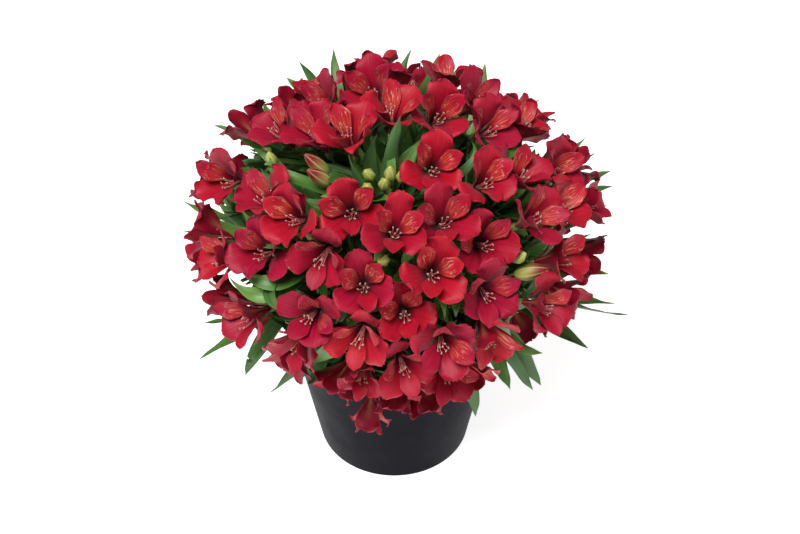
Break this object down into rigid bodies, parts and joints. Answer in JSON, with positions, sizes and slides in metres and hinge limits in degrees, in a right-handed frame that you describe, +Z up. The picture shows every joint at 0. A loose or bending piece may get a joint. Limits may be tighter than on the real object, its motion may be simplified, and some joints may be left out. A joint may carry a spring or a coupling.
{
  "type": "potted peruvian lily",
  "caption": "A potted Peruvian lily in full bloom: crimson funnel-shaped flowers with streaked inner petals stand in a dense dome over a plain tapered black pot.",
  "frame": {"origin": "centre of the pot's flat base, on the surface that it stands on", "axes": "+Z up, the front of the plant towards -Y, +X to the right of a viewer at the front"},
  "size_m": [0.3921, 0.3694, 0.392],
  "materials": {
    "pot_plastic": "satin black moulded plastic",
    "potting_soil": "dark crumbly peat and bark soil",
    "flowers": "soft satin crimson petals, the two upper inner ones streaked cream and gold",
    "foliage": "smooth leaves with fine parallel veins, glossier above than below"
  },
  "bodies": {
    "root": {"pot": "pot_plastic", "soil": "potting_soil", "flower_stem_01": "flowers", "flower_stem_02": "flowers", "flower_stem_03": "flowers", "flower_stem_04": "flowers", "flower_stem_05": "flowers", "flower_stem_06": "flowers", "flower_stem_07": "flowers", "flower_stem_08": "flowers", "flower_stem_09": "flowers", "flower_stem_10": "flowers", "flower_stem_11": "flowers", "flower_stem_12": "flowers", "flower_stem_13": "flowers", "flower_stem_14": "flowers", "flower_stem_15": "flowers", "flower_stem_16": "flowers", "flower_stem_17": "flowers", "flower_stem_18": "flowers", "flower_stem_19": "flowers", "flower_stem_20": "flowers", "leafy_shoot_01": "foliage", "leafy_shoot_02": "foliage", "leafy_shoot_03": "foliage", "leafy_shoot_04": "foliage", "leafy_shoot_05": "foliage", "leafy_shoot_06": "foliage", "leafy_shoot_07": "foliage", "leafy_shoot_08": "foliage", "leafy_shoot_09": "foliage", "leafy_shoot_10": "foliage", "leafy_shoot_11": "foliage", "leafy_shoot_12": "foliage", "leafy_shoot_13": "foliage", "leafy_shoot_14": "foliage", "leafy_shoot_15": "foliage", "leafy_shoot_16": "foliage"}
  },
  "joints": []
}
